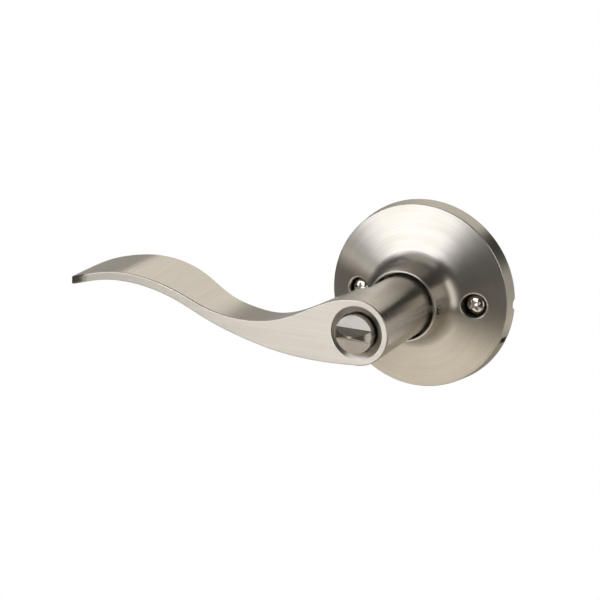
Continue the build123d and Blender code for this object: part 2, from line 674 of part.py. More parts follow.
# ---------------------------------------------------------------- turn button
with BuildPart() as turn_button:
    with BuildSketch(SECTION):
        Polygon(
            (0, BUTTON_SHANK_END),
            (BUTTON_SHANK_R, BUTTON_SHANK_END),
            (BUTTON_SHANK_R, BUTTON_BACK),
            (BUTTON_R, BUTTON_BACK),
            (BUTTON_R, BUTTON_FLOOR),
            (0, BUTTON_FLOOR),
            align=None,
        )
    revolve(axis=Axis.Y)
    # thumb rib: two flanks rise from straight feet to one arched crest
    left_low = Vector(-BUTTON_RIB_R, -BUTTON_FLOOR, -RIB_HALF_WIDTH)
    right_low = Vector(BUTTON_RIB_R, -BUTTON_FLOOR, -RIB_HALF_WIDTH)
    left_high = Vector(-BUTTON_RIB_R, -BUTTON_FLOOR, RIB_HALF_WIDTH)
    right_high = Vector(BUTTON_RIB_R, -BUTTON_FLOOR, RIB_HALF_WIDTH)
    crest = Edge.make_three_point_arc(
        Vector(-BUTTON_RIB_R, -BUTTON_FLOOR, 0),
        Vector(0, -BUTTON_FLOOR - RIB_RISE, 0),
        Vector(BUTTON_RIB_R, -BUTTON_FLOOR, 0),
    )
    low_flank = Face.make_surface_from_curves(Edge.make_line(left_low, right_low), crest)
    high_flank = Face.make_surface_from_curves(Edge.make_line(left_high, right_high), crest)
    seat = Face(Wire.make_polygon([left_low, right_low, crest @ 1, right_high, left_high, crest @ 0]))
    add(Solid(Shell([seat, low_flank, high_flank])))
    # groove for the clip and slot for the lock bar
    with BuildSketch(at_height(BUTTON_CLIP_BACK - RUNNING)):
        Circle(BUTTON_R)
        Circle(BUTTON_GROOVE_R, mode=Mode.SUBTRACT)
    extrude(amount=BUTTON_CLIP_FRONT - BUTTON_CLIP_BACK + 2 * RUNNING, mode=Mode.SUBTRACT)
    with BuildSketch(at_height(BUTTON_SHANK_END)):
        Rectangle(BAR_WIDTH + 2 * RUNNING, BAR_THICKNESS + 2 * RUNNING)
    extrude(amount=BAR_FRONT - BUTTON_SHANK_END + RUNNING, mode=Mode.SUBTRACT)
save(turn_button, "turn_button")

# ---------------------------------------------------------------- lock bar turned by the button
with BuildPart() as lock_bar:
    with BuildSketch(at_height(BAR_END)):
        Rectangle(BAR_WIDTH, BAR_THICKNESS)
    extrude(amount=BAR_FRONT - BAR_END)
    chamfer(lock_bar.faces().sort_by(Axis.Y)[-1].edges(), BAR_THICKNESS / 4)
save(lock_bar, "lock_bar")

# ---------------------------------------------------------------- friction washer and button clip
with BuildPart() as friction_washer:
    # coned spring washer between the lever's web and the clip
    with BuildSketch(SECTION):
        Polygon(
            (FRICTION_INNER_R, BUTTON_CLIP_FRONT + RUNNING),
            (FRICTION_INNER_R, BUTTON_CLIP_FRONT + RUNNING + FRICTION_SHEET),
            (FRICTION_OUTER_R, WEB_BACK - RUNNING),
            (FRICTION_OUTER_R, WEB_BACK - RUNNING - FRICTION_SHEET),
            align=None,
        )
    revolve(axis=Axis.Y)
save(friction_washer, "friction_washer")

with BuildPart() as button_clip:
    # E-clip: three inner lands that grip the groove, open towards -Z
    with BuildSketch(at_height(BUTTON_CLIP_BACK)):
        Circle(BUTTON_CLIP_R)
        Circle(BUTTON_CLIP_RELIEF_R, mode=Mode.SUBTRACT)
        with PolarLocations(BUTTON_CLIP_RELIEF_R, 3, start_angle=90):
            Rectangle(2 * (BUTTON_CLIP_RELIEF_R - BUTTON_GROOVE_R), BUTTON_CLIP_LAND)
        Circle(BUTTON_GROOVE_R + RUNNING, mode=Mode.SUBTRACT)
        with Locations((0, -BUTTON_CLIP_R)):
            Rectangle(BUTTON_CLIP_GAP, 2 * BUTTON_CLIP_R - BUTTON_GROOVE_R, mode=Mode.SUBTRACT)
    extrude(amount=BUTTON_CLIP_FRONT - BUTTON_CLIP_BACK)
save(button_clip, "button_clip")
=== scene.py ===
"""Studio scene of a privacy door lever's inside half: satin nickel rose, wavy lever, thumb turn."""
import math

import bmesh
import bpy
from mathutils import Matrix, Vector


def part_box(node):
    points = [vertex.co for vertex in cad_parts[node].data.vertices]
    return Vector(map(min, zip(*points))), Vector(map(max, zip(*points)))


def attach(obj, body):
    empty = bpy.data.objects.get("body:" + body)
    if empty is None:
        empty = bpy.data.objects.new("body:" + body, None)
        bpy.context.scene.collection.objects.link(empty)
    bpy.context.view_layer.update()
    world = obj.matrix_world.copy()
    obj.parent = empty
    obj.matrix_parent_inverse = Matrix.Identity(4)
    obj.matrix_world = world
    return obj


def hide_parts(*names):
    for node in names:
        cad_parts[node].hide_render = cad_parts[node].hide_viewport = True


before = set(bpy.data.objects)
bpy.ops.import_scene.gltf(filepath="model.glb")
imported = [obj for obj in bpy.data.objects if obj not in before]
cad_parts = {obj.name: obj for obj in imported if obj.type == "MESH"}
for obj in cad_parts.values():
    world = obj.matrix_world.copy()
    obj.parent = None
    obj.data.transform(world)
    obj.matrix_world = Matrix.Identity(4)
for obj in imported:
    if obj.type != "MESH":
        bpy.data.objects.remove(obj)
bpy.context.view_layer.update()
MM = 0.001

# ---------------------------------------------------------------- camera
VIEW_AZIMUTH = 24.806          # degrees from straight on, towards the hinge side
VIEW_ELEVATION = 15.38
VIEW_ROLL = 1.67
VIEW_DISTANCE = 0.8
VIEW_TARGET = Vector((-0.03918, -0.01932, -0.00399))
LENS = 138.04                  # millimetres, on a sensor of this width
SENSOR_WIDTH = 36.0


def direction(azimuth, elevation):
    """Unit vector that points from the handle towards this bearing."""
    a, e = math.radians(azimuth), math.radians(elevation)
    return Vector((math.cos(e) * math.sin(a), -math.cos(e) * math.cos(a), math.sin(e)))


def aim_camera():
    """Camera at the viewing angle, looking at the middle of the handle."""
    data = bpy.data.cameras.new("camera")
    data.lens = LENS
    data.sensor_width = SENSOR_WIDTH
    camera = bpy.data.objects.new("camera", data)
    bpy.context.collection.objects.link(camera)
    away = direction(VIEW_AZIMUTH, VIEW_ELEVATION)
    turn = away.to_track_quat("Z", "Y").to_matrix().to_4x4()
    roll = Matrix.Rotation(math.radians(VIEW_ROLL), 4, "Z")
    camera.matrix_world = Matrix.Translation(VIEW_TARGET + away * VIEW_DISTANCE) @ turn @ roll
    bpy.context.scene.camera = camera


aim_camera()


# ---------------------------------------------------------------- studio
FLOOR_Z = -0.9
FLOOR_HALF = 6.0
FLOOR_CELLS = 8
FLOOR_COLOUR = (0.90, 0.86, 0.78, 1.0)
FLOOR_ROUGHNESS = 0.9
KEY_WHITE = (0.97, 0.98, 1.0)
WARM_WHITE = (1.0, 0.955, 0.87)
LIGHTS = {
    # name: (azimuth, elevation, distance, width, height, radiance, colour); degrees and metres
    "wide_key": (-27.0, 20.0, 1.3, 1.25, 0.9, 2.3, KEY_WHITE),
    "low_strip": (-21.0, -14.0, 1.3, 0.34, 0.40, 1.7, KEY_WHITE),
    "side": (70.0, 7.0, 1.6, 1.0, 1.5, 1.25, WARM_WHITE),
    "overhead": (-28.0, 72.0, 1.8, 2.0, 1.4, 0.38, WARM_WHITE),
    "rear_high": (-160.0, 40.0, 1.8, 2.6, 1.2, 0.95, WARM_WHITE),
    "rear_left": (-158.0, 0.0, 1.8, 1.6, 1.25, 0.34, WARM_WHITE),
    "rear_right": (150.0, -9.0, 1.8, 1.3, 1.2, 0.62, WARM_WHITE),
}
FLOOR_LAMP = (1.7, 1.1, 1.2, WARM_WHITE)     # width, height, radiance, colour; lights only the floor
FLOOR_LAMP_PLACE = (-0.38, -1.15, -0.5)
WORLD_FILL = 0.05
BACKDROP = 1.0                # brightness of the white studio seen directly


def add_light(name, place_and_turn, width, height, radiance, colour):
    """One soft rectangular light."""
    data = bpy.data.lights.new(name, "AREA")
    data.shape = "RECTANGLE"
    data.size, data.size_y = width, height
    data.energy = radiance * math.pi * width * height
    data.color = colour
    light = bpy.data.objects.new(name, data)
    light.matrix_world = place_and_turn
    bpy.context.collection.objects.link(light)


for light_name, (azimuth, elevation, distance, *panel) in LIGHTS.items():
    away = direction(azimuth, elevation)
    facing = away.to_track_quat("Z", "Y").to_matrix().to_4x4()
    add_light(light_name, Matrix.Translation(VIEW_TARGET + away * distance) @ facing, *panel)
add_light("floor_lamp", Matrix.Translation(FLOOR_LAMP_PLACE), *FLOOR_LAMP)


def make_world():
    """Dim even fill round the handle; seen directly, the studio is plain white."""
    world = bpy.data.worlds.new("studio")
    world.use_nodes = True
    tree = world.node_tree
    fill = tree.nodes["Background"]
    fill.inputs["Color"].default_value = (*WARM_WHITE, 1.0)
    fill.inputs["Strength"].default_value = WORLD_FILL
    backdrop = tree.nodes.new("ShaderNodeBackground")
    backdrop.inputs["Strength"].default_value = BACKDROP
    backdrop.inputs["Color"].default_value = (1.0, 1.0, 1.0, 1.0)
    direct = tree.nodes.new("ShaderNodeLightPath").outputs["Is Camera Ray"]
    choose = tree.nodes.new("ShaderNodeMixShader")
    tree.links.new(direct, choose.inputs[0])
    tree.links.new(fill.outputs[0], choose.inputs[1])
    tree.links.new(backdrop.outputs[0], choose.inputs[2])
    tree.links.new(choose.outputs[0], tree.nodes["World Output"].inputs["Surface"])
    bpy.context.scene.world = world


make_world()
bpy.context.scene.view_settings.view_transform = "Standard"


# ---------------------------------------------------------------- node tools
def node(tree, kind, **settings):
    """New shader node with its settings."""
    made = tree.nodes.new(kind)
    for key, value in settings.items():
        setattr(made, key, value)
    return made


def join(tree, value, socket):
    """Link an output to a socket, or set the socket to a plain value."""
    if isinstance(value, bpy.types.NodeSocket):
        tree.links.new(value, socket)
    else:
        socket.default_value = value


def calc(tree, operation, *values):
    """One Math node."""
    made = node(tree, "ShaderNodeMath", operation=operation)
    for value, socket in zip(values, made.inputs):
        join(tree, value, socket)
    return made.outputs[0]


def span(tree, value, low, high):
    """Map 0..1 to low..high."""
    made = node(tree, "ShaderNodeMapRange")
    join(tree, value, made.inputs["Value"])
    join(tree, low, made.inputs["To Min"])
    join(tree, high, made.inputs["To Max"])
    return made.outputs["Result"]


def step_up(tree, value, low, high, smooth=True):
    """0 at low, 1 at high, with an eased or a straight slope between; low may be the larger."""
    made = node(tree, "ShaderNodeMapRange")
    if smooth:
        made.interpolation_type = "SMOOTHSTEP"
    join(tree, value, made.inputs["Value"])
    made.inputs["From Min"].default_value = low
    made.inputs["From Max"].default_value = high
    return made.outputs["Result"]


def noise(tree, vector, scale, detail=2.0, roughness=0.5):
    """Fractal noise, 0..1."""
    made = node(tree, "ShaderNodeTexNoise")
    join(tree, vector, made.inputs["Vector"])
    join(tree, scale, made.inputs["Scale"])
    join(tree, detail, made.inputs["Detail"])
    join(tree, roughness, made.inputs["Roughness"])
    return made.outputs["Fac"]


def stretch(tree, vector, scales):
    """Multiply a vector by three scales."""
    made = node(tree, "ShaderNodeVectorMath", operation="MULTIPLY")
    join(tree, vector, made.inputs[0])
    join(tree, scales, made.inputs[1])
    return made.outputs[0]


def blend_value(tree, factor, low, high):
    """Mix two values."""
    made = node(tree, "ShaderNodeMix")
    join(tree, factor, made.inputs["Factor"])
    join(tree, low, made.inputs[2])
    join(tree, high, made.inputs[3])
    return made.outputs[0]


def blend_vector(tree, factor, low, high):
    """Mix two vectors."""
    made = node(tree, "ShaderNodeMix", data_type="VECTOR")
    join(tree, factor, made.inputs["Factor"])
    join(tree, low, made.inputs[4])
    join(tree, high, made.inputs[5])
    return made.outputs[1]


def blend_colour(tree, factor, low, high):
    """Mix two colours."""
    made = node(tree, "ShaderNodeMix", data_type="RGBA")
    join(tree, factor, made.inputs["Factor"])
    join(tree, low, made.inputs[6])
    join(tree, high, made.inputs[7])
    return made.outputs[2]


def object_place(tree):
    """This place in the part's own frame, metres."""
    return node(tree, "ShaderNodeTexCoord").outputs["Object"]


def place_on_part(tree):
    """The three coordinates of this place in the part's own frame."""
    split = node(tree, "ShaderNodeSeparateXYZ")
    join(tree, object_place(tree), split.inputs[0])
    return split.outputs


def distance_of(tree, across, along):
    """Length of the two sides' diagonal."""
    squares = [calc(tree, "MULTIPLY", side, side) for side in (across, along)]
    return calc(tree, "SQRT", calc(tree, "ADD", *squares))


def new_group(name, inputs, outputs):
    """Empty node group: inputs are (name, socket type, value), outputs (name, socket type)."""
    tree = bpy.data.node_groups.new(name, "ShaderNodeTree")
    for label, kind, value in inputs:
        tree.interface.new_socket(name=label, in_out="INPUT", socket_type=kind).default_value = value
    for label, kind in outputs:
        tree.interface.new_socket(name=label, in_out="OUTPUT", socket_type=kind)
    return tree, node(tree, "NodeGroupInput").outputs, node(tree, "NodeGroupOutput").inputs


FLOAT, VECTOR = "NodeSocketFloat", "NodeSocketVector"


def place(tree, group, **values):
    """Put a group into a material; values are its inputs, with _ for each space."""
    made = node(tree, "ShaderNodeGroup", node_tree=group)
    for label, value in values.items():
        join(tree, value, made.inputs[label.replace("_", " ")])
    return made.outputs


# ---------------------------------------------------------------- shared effects
FINE_SHARE = 0.65              # how much of a brushed finish is fine lines; the rest is broad bands
HEIGHT_SHARE = 0.7             # how much depth along the axis counts beside radius across the turned lines
NEAR_AXIS = 0.0001             # metres; keeps the turned lines from dividing by nothing


def strokes(tree, cells, band_scale, contrast):
    """Brushed lines 0..1 from a place measured in line widths, with broad bands mixed in."""
    fine = noise(tree, cells, 1.0, 3.0, 0.65)
    broad = noise(tree, stretch(tree, cells, band_scale), 1.0, 2.0)
    fine = calc(tree, "MULTIPLY", fine, FINE_SHARE)
    mixed = calc(tree, "ADD", fine, calc(tree, "MULTIPLY", broad, 1.0 - FINE_SHARE))
    centred = calc(tree, "MULTIPLY", calc(tree, "SUBTRACT", mixed, 0.5), contrast)
    clamped = node(tree, "ShaderNodeClamp")
    join(tree, calc(tree, "ADD", centred, 0.5), clamped.inputs[0])
    return clamped.outputs[0]


def make_turned_lines():
    """Fine lines that run round the lever's axis, as a lathe or a spinning brush leaves them."""
    tree, given, result = new_group(
        "turned_lines",
        [("Line Width", FLOAT, 0.0004), ("Arc Length", FLOAT, 1.2), ("Contrast", FLOAT, 1.0)],
        [("Lines", FLOAT)],
    )
    x, y, z = place_on_part(tree)
    radius = calc(tree, "MAXIMUM", distance_of(tree, x, z), NEAR_AXIS)
    cells = node(tree, "ShaderNodeCombineXYZ")
    for side, socket in zip((x, z), cells.inputs):
        join(tree, calc(tree, "DIVIDE", calc(tree, "DIVIDE", side, radius), given["Arc Length"]), socket)
    across = calc(tree, "SUBTRACT", radius, calc(tree, "MULTIPLY", y, HEIGHT_SHARE))
    join(tree, calc(tree, "DIVIDE", across, given["Line Width"]), cells.inputs["Z"])
    join(tree, strokes(tree, cells.outputs[0], (1.0, 1.0, 0.22), given["Contrast"]), result["Lines"])
    return tree


def make_straight_lines():
    """Fine straight strokes: a cell is a stroke's size along the part's three axes."""
    tree, given, result = new_group(
        "straight_lines",
        [("Cell", VECTOR, (0.03, 0.0004, 0.0004)), ("Contrast", FLOAT, 1.0)],
        [("Lines", FLOAT)],
    )
    cells = node(tree, "ShaderNodeVectorMath", operation="DIVIDE")
    join(tree, object_place(tree), cells.inputs[0])
    join(tree, given["Cell"], cells.inputs[1])
    join(tree, strokes(tree, cells.outputs[0], (0.35, 0.22, 0.22), given["Contrast"]), result["Lines"])
    return tree


def make_handling():
    """Faint soft patches where hands and cloths have dulled the surface."""
    tree, given, result = new_group(
        "handling",
        [("Patch Size", FLOAT, 0.012), ("Amount", FLOAT, 1.0)],
        [("Patches", FLOAT)],
    )
    soft = noise(tree, object_place(tree), calc(tree, "DIVIDE", 1.0, given["Patch Size"]), 3.0, 0.55)
    patches = step_up(tree, soft, 0.42, 0.68)
    join(tree, calc(tree, "MULTIPLY", patches, given["Amount"]), result["Patches"])
    return tree


def make_cast_grain():
    """Fine pebbled skin of an unfinished casting."""
    tree, given, result = new_group(
        "cast_grain",
        [("Grain Size", FLOAT, 0.0005)],
        [("Height", FLOAT), ("Stain", FLOAT)],
    )
    place_here = object_place(tree)
    scale = calc(tree, "DIVIDE", 1.0, given["Grain Size"])
    pebbles = node(tree, "ShaderNodeTexVoronoi", feature="SMOOTH_F1")
    join(tree, place_here, pebbles.inputs["Vector"])
    join(tree, scale, pebbles.inputs["Scale"])
    rough = noise(tree, place_here, calc(tree, "MULTIPLY", scale, 0.6), 4.0, 0.6)
    join(tree, calc(tree, "ADD", pebbles.outputs["Distance"], rough), result["Height"])
    join(tree, noise(tree, place_here, calc(tree, "MULTIPLY", scale, 0.05), 3.0, 0.6), result["Stain"])
    return tree


TURNED_LINES = make_turned_lines()
STRAIGHT_LINES = make_straight_lines()
HANDLING = make_handling()
CAST_GRAIN = make_cast_grain()


# ---------------------------------------------------------------- materials
def new_metal(name, anisotropy=0.0, anisotropy_turn=0.0, metallic=1.0):
    """Principled material and its tree; uniform values sit on the shader itself."""
    material = bpy.data.materials.new(name)
    material.use_nodes = True
    tree = material.node_tree
    shader = tree.nodes["Principled BSDF"]
    shader.inputs["Metallic"].default_value = metallic
    shader.inputs["Anisotropic"].default_value = anisotropy
    shader.inputs["Anisotropic Rotation"].default_value = anisotropy_turn
    return material, tree, shader


def add_bump(tree, shader, height, depth, strength=1.0):
    """Bump of this depth in metres into the shader's normal."""
    bump = node(tree, "ShaderNodeBump")
    bump.inputs["Strength"].default_value = strength
    bump.inputs["Distance"].default_value = depth
    join(tree, height, bump.inputs["Height"])
    join(tree, bump.outputs["Normal"], shader.inputs["Normal"])


def add_roughness(tree, shader, lines, patches, between, polish=None):
    """Roughness between two values by the lines, a little higher in the handled patches, then scaled."""
    rough = calc(tree, "ADD", span(tree, lines, *between), calc(tree, "MULTIPLY", patches, PATCH_ROUGHNESS))
    if polish is not None:
        rough = calc(tree, "MULTIPLY", rough, polish)
    join(tree, rough, shader.inputs["Roughness"])


NICKEL_DARK = (0.50, 0.465, 0.42, 1.0)
NICKEL_LIGHT = (0.66, 0.625, 0.575, 1.0)
# painted shade: near-black colour laid on the steep walls of the rose's screw holes
HOLE_PAINTED_SHADE = (0.16, 0.14, 0.12, 1.0)
PATCH_ROUGHNESS = 0.05
BRUSH_DEPTH = 0.00002
ALONG_TANGENT = 0.25           # turn of the anisotropy that lays the brush lines along the tangent
SCREW_PLACE = 0.0212           # of the two holes in the rose, metres from the axis
HOLE_REACH = (0.0052, 0.0044)  # the painted shade on the hole walls ends between these distances from a hole's middle
HUB_REACH = (0.0140, 0.0118)   # between these distances from the axis the strokes change to run round it
GRIP_SMOOTHNESS = 0.6          # roughness of the grip's top and bottom against its front
HUB_COARSENESS = 0.4           # 0 as smooth as the grip's top, 1 as rough as its front


def facing_mask(tree, axis, low, high):
    """1 where the surface faces along this axis of the part (0, 1 or 2), 0 where it is square to it."""
    split = node(tree, "ShaderNodeSeparateXYZ")
    join(tree, node(tree, "ShaderNodeTexCoord").outputs["Normal"], split.inputs[0])
    return step_up(tree, calc(tree, "ABSOLUTE", split.outputs[axis]), low, high)


def hole_shade_mask(tree):
    """1 on the steep walls of the rose's two rolled screw holes, where the colour is painted dark as shade.
    """
    x, _, z = place_on_part(tree)
    off_centre = calc(tree, "SUBTRACT", calc(tree, "ABSOLUTE", x), SCREW_PLACE)
    near = step_up(tree, distance_of(tree, off_centre, z), *HOLE_REACH, smooth=False)
    steep = calc(tree, "SUBTRACT", 1.0, facing_mask(tree, 1, 0.35, 0.85))
    return calc(tree, "MULTIPLY", near, steep)


def make_turned_nickel():
    """Satin nickel brushed round the axis, for the rose."""
    material, tree, shader = new_metal("turned_satin_nickel", 0.72, ALONG_TANGENT)
    lines = place(tree, TURNED_LINES, Line_Width=0.00042, Arc_Length=1.0, Contrast=1.5)["Lines"]
    dull = place(tree, HANDLING, Patch_Size=0.014, Amount=0.6)
    colour = blend_colour(tree, lines, NICKEL_DARK, NICKEL_LIGHT)
    # painted shade darkens the steep walls of the two screw holes
    join(tree, blend_colour(tree, hole_shade_mask(tree), colour, HOLE_PAINTED_SHADE), shader.inputs["Base Color"])
    add_roughness(tree, shader, lines, dull["Patches"], (0.36, 0.24))
    add_bump(tree, shader, lines, BRUSH_DEPTH, 0.5)
    tangent = node(tree, "ShaderNodeTangent", direction_type="RADIAL", axis="Y")
    join(tree, tangent.outputs[0], shader.inputs["Tangent"])
    return material


def hub_mask(tree):
    """1 on the lever's hub, 0 on its grip."""
    x, _, z = place_on_part(tree)
    return step_up(tree, distance_of(tree, x, z), *HUB_REACH)


def round_axis(tree):
    """Direction that runs round the part's turning axis here."""
    circle = node(tree, "ShaderNodeVectorMath", operation="CROSS_PRODUCT")
    join(tree, object_place(tree), circle.inputs[0])
    join(tree, (0.0, 1.0, 0.0), circle.inputs[1])
    unit = node(tree, "ShaderNodeVectorMath", operation="NORMALIZE")
    join(tree, circle.outputs[0], unit.inputs[0])
    return unit.outputs[0]


def make_lever_nickel():
    """Satin nickel brushed along the lever's front, across its top and bottom, and round its hub."""
    material, tree, shader = new_metal("lever_satin_nickel", 0.75, ALONG_TANGENT)
    front, hub = facing_mask(tree, 1, 0.55, 0.85), hub_mask(tree)
    along = place(tree, STRAIGHT_LINES, Cell=(0.03, 0.001, 0.00045), Contrast=1.4)["Lines"]
    across = place(tree, STRAIGHT_LINES, Cell=(0.0005, 0.02, 0.02), Contrast=1.0)["Lines"]
    around = place(tree, STRAIGHT_LINES, Cell=(0.02, 0.0004, 0.02), Contrast=1.0)["Lines"]
    lines = blend_value(tree, front, blend_value(tree, hub, across, around), along)
    dull = place(tree, HANDLING, Patch_Size=0.02, Amount=0.6)
    join(tree, blend_colour(tree, lines, NICKEL_DARK, NICKEL_LIGHT), shader.inputs["Base Color"])
    coarse = calc(tree, "MAXIMUM", front, calc(tree, "MULTIPLY", hub, HUB_COARSENESS))
    polish = span(tree, coarse, GRIP_SMOOTHNESS, 1.0)
    add_roughness(tree, shader, lines, dull["Patches"], (0.38, 0.28), polish)
    add_bump(tree, shader, lines, BRUSH_DEPTH, 0.5)
    side_stroke = blend_vector(tree, hub, (0.0, 1.0, 0.0), round_axis(tree))
    turned = node(
        tree, "ShaderNodeVectorTransform", vector_type="VECTOR", convert_from="OBJECT", convert_to="WORLD"
    )
    join(tree, blend_vector(tree, front, side_stroke, (1.0, 0.0, 0.0)), turned.inputs[0])
    join(tree, turned.outputs[0], shader.inputs["Tangent"])
    return material


def make_smooth_metal(name, dark, light, roughness, patch=0.004):
    """Plain plated metal with faint uneven patches and turning marks."""
    material, tree, shader = new_metal(name)
    lines = place(tree, TURNED_LINES, Line_Width=0.0003, Arc_Length=0.8, Contrast=1.2)["Lines"]
    dull = place(tree, HANDLING, Patch_Size=patch, Amount=1.0)["Patches"]
    join(tree, blend_colour(tree, dull, light, dark), shader.inputs["Base Color"])
    mixed = calc(tree, "ADD", calc(tree, "MULTIPLY", lines, 0.4), calc(tree, "MULTIPLY", dull, 0.6))
    join(tree, span(tree, mixed, *roughness), shader.inputs["Roughness"])
    add_bump(tree, shader, lines, 0.00001, 0.4)
    return material


def make_grained(name, dark, light, metallic, grain_size, roughness, depth, strength):
    """Unpolished casting or moulding with a fine pebbled skin; gives its shader back too."""
    material, tree, shader = new_metal(name, metallic=metallic)
    grain = place(tree, CAST_GRAIN, Grain_Size=grain_size)
    join(tree, blend_colour(tree, grain["Stain"], dark, light), shader.inputs["Base Color"])
    join(tree, span(tree, grain["Stain"], *roughness), shader.inputs["Roughness"])
    add_bump(tree, shader, grain["Height"], depth, strength)
    return material, shader


def make_shade_darkened_zinc():
    """Zinc casting, dull grey, with both tones set darker than bare zinc as painted shade for the deep gap
    under the screw heads.
    """
    # painted shade: these greys are darker than the zinc's own colour so the wells round the chassis boss
    # read black
    dark, light = (0.13, 0.13, 0.135, 1), (0.26, 0.26, 0.27, 1)
    return make_grained("cast_zinc", dark, light, 0.9, 0.0006, (0.42, 0.58), 0.00006, 0.6)[0]


def make_nylon():
    """Natural moulded nylon."""
    dark, light = (0.74, 0.72, 0.66, 1), (0.84, 0.82, 0.77, 1)
    material, shader = make_grained("natural_nylon", dark, light, 0.0, 0.0004, (0.38, 0.5), 0.00002, 0.4)
    shader.inputs["Subsurface Weight"].default_value = 0.15
    shader.inputs["Subsurface Radius"].default_value = (0.002, 0.002, 0.0015)
    return material


TURNED_NICKEL = make_turned_nickel()
LEVER_NICKEL = make_lever_nickel()
BUTTON_NICKEL = make_smooth_metal(
    "button_nickel", (0.42, 0.39, 0.355, 1), (0.46, 0.43, 0.395, 1), (0.22, 0.30), 0.012
)
BRIGHT_NICKEL = make_smooth_metal(
    "bright_nickel", (0.60, 0.56, 0.52, 1), (0.74, 0.70, 0.66, 1), (0.08, 0.20), 0.002
)
PLATED_STEEL = make_smooth_metal(
    "zinc_plated_steel", (0.50, 0.50, 0.46, 1), (0.66, 0.67, 0.66, 1), (0.25, 0.42)
)
SPRING_STEEL = make_smooth_metal(
    "spring_steel", (0.14, 0.13, 0.12, 1), (0.26, 0.25, 0.24, 1), (0.25, 0.40)
)
SHADE_DARKENED_ZINC = make_shade_darkened_zinc()
NYLON = make_nylon()

FINISHES = (
    (TURNED_NICKEL, ("rose_cover",)),
    (LEVER_NICKEL, ("lever",)),
    # the zinc parts carry a colour darkened as painted shade
    (SHADE_DARKENED_ZINC, ("chassis", "spindle_holder")),
    (NYLON, ("neck_bush", "thrust_washer", "catch_guide")),
    (SPRING_STEEL, ("return_spring", "retaining_ring", "catch_spring", "button_clip", "friction_washer")),
    (PLATED_STEEL, (
        "spring_cover", "cover_rivets", "drive_sleeve", "drive_cam", "spindle", "lock_bar", "lever_catch",
    )),
)
for finish, node_names in FINISHES:
    for node_name in node_names:
        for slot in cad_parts[node_name].material_slots:
            slot.material = finish


# ---------------------------------------------------------------- mesh tools
def point(x, height, z):
    """Millimetres in the part's frame to a place in metres; height is measured out of the door."""
    return Vector((x, -height, z)) * MM


def skin(shape, rings, closed=True):
    """Quads between neighbouring rings of points; a ring of one point closes an end."""
    rows = [[shape.verts.new(p) for p in ring] for ring in rings]
    for low, high in zip(rows, rows[1:]):
        count = max(len(low), len(high))
        for i in range(count if closed else count - 1):
            j = (i + 1) % count
            corners = [low[i % len(low)], low[j % len(low)], high[j % len(high)], high[i % len(high)]]
            unique = list(dict.fromkeys(corners))
            if len(unique) > 2:
                shape.faces.new(unique)


def lathe_rings(profile, columns, x=0.0):
    """Rings round an axis parallel to the lever's at this x; the profile is (radius, height) pairs."""
    rings = []
    for radius, height in profile:
        if radius == 0:
            rings.append([point(x, height, 0.0)])
            continue
        turns = [math.tau * i / columns for i in range(columns)]
        rings.append([point(x + radius * math.cos(t), height, radius * math.sin(t)) for t in turns])
    return rings


EASE_SEGMENTS = 3
EASE_ANGLE = math.radians(35)  # only edges sharper than this are eased


def finish_piece(name, shape, body, node_name, material, ease=0.0):
    """Turn the bmesh into a smooth piece that stands for a CAD node and rides on its body."""
    bmesh.ops.recalc_face_normals(shape, faces=shape.faces)
    mesh = bpy.data.meshes.new(name)
    shape.to_mesh(mesh)
    shape.free()
    mesh.polygons.foreach_set("use_smooth", [True] * len(mesh.polygons))
    mesh.materials.append(material)
    piece = bpy.data.objects.new(name, mesh)
    bpy.context.collection.objects.link(piece)
    if ease:
        bevel = piece.modifiers.new("eased_edges", "BEVEL")
        bevel.width = ease * MM
        bevel.segments = EASE_SEGMENTS
        bevel.limit_method = "ANGLE"
        bevel.angle_limit = EASE_ANGLE
        bevel.harden_normals = True
    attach(piece, body)
    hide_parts(node_name)


# ---------------------------------------------------------------- mounting screws
SCREW_COLUMNS = 96
HEAD_R = 3.75
HEAD_SEAT = 4.95
HEAD_SIDE = 5.7
HEAD_TOP = 8.0
DOME_POWER = 2.4               # 2 is an ellipse, more is flatter on top
DOME_RINGS = 40
SHANK_R = 1.85
SHANK_START = 0.05
THREAD_R = 2.08
THREAD_ROOT_R = 1.62
THREAD_PITCH = 0.794           # 32 threads to the inch
THREAD_STEPS = 8               # rings in one turn of the thread
THREAD_FLANK = 2.4             # steepness of the thread's sides
THREAD_END = -0.1
SCREW_TIP = -20.4
TIP_CHAMFER = 0.4
RECESS_R = 2.15
RECESS_HALF_WIDTH = 0.52
RECESS_DEPTH = 1.7
RECESS_WIDEST = 1.25           # of the half width, at the middle
RECESS_TAPER = 0.35            # narrowing of a wing for each millimetre outwards
RECESS_CORE_R = 1.05
WING_WALL = 0.16               # width of the wings' sloping walls
CORE_WALL = 0.3
RECESS_SLOPE = 1.7             # how soon a wing reaches its full depth
RECESS_TURNS = {"left": 12.0, "right": 38.0}


def clamp(value):
    """Keep a value within 0..1."""
    return min(1.0, max(0.0, value))


def recess_depth(x, z):
    """Depth of the cross recess at a place on the head, millimetres from its middle."""
    across, along = sorted((abs(x), abs(z)))
    half_width = RECESS_HALF_WIDTH * (RECESS_WIDEST - RECESS_TAPER * along)
    wing = clamp((half_width - across) / WING_WALL)
    core = clamp((RECESS_CORE_R - math.hypot(x, z)) / CORE_WALL)
    slope = clamp((RECESS_R - along) / RECESS_R * RECESS_SLOPE)
    return RECESS_DEPTH * slope * max(wing, core)


def head_height(radius):
    """Height of the domed head at this radius."""
    return HEAD_SIDE + (HEAD_TOP - HEAD_SIDE) * (1 - (radius / HEAD_R) ** DOME_POWER) ** 0.5


def circle_turns():
    """Angles of a screw's columns."""
    return [math.tau * i / SCREW_COLUMNS for i in range(SCREW_COLUMNS)]


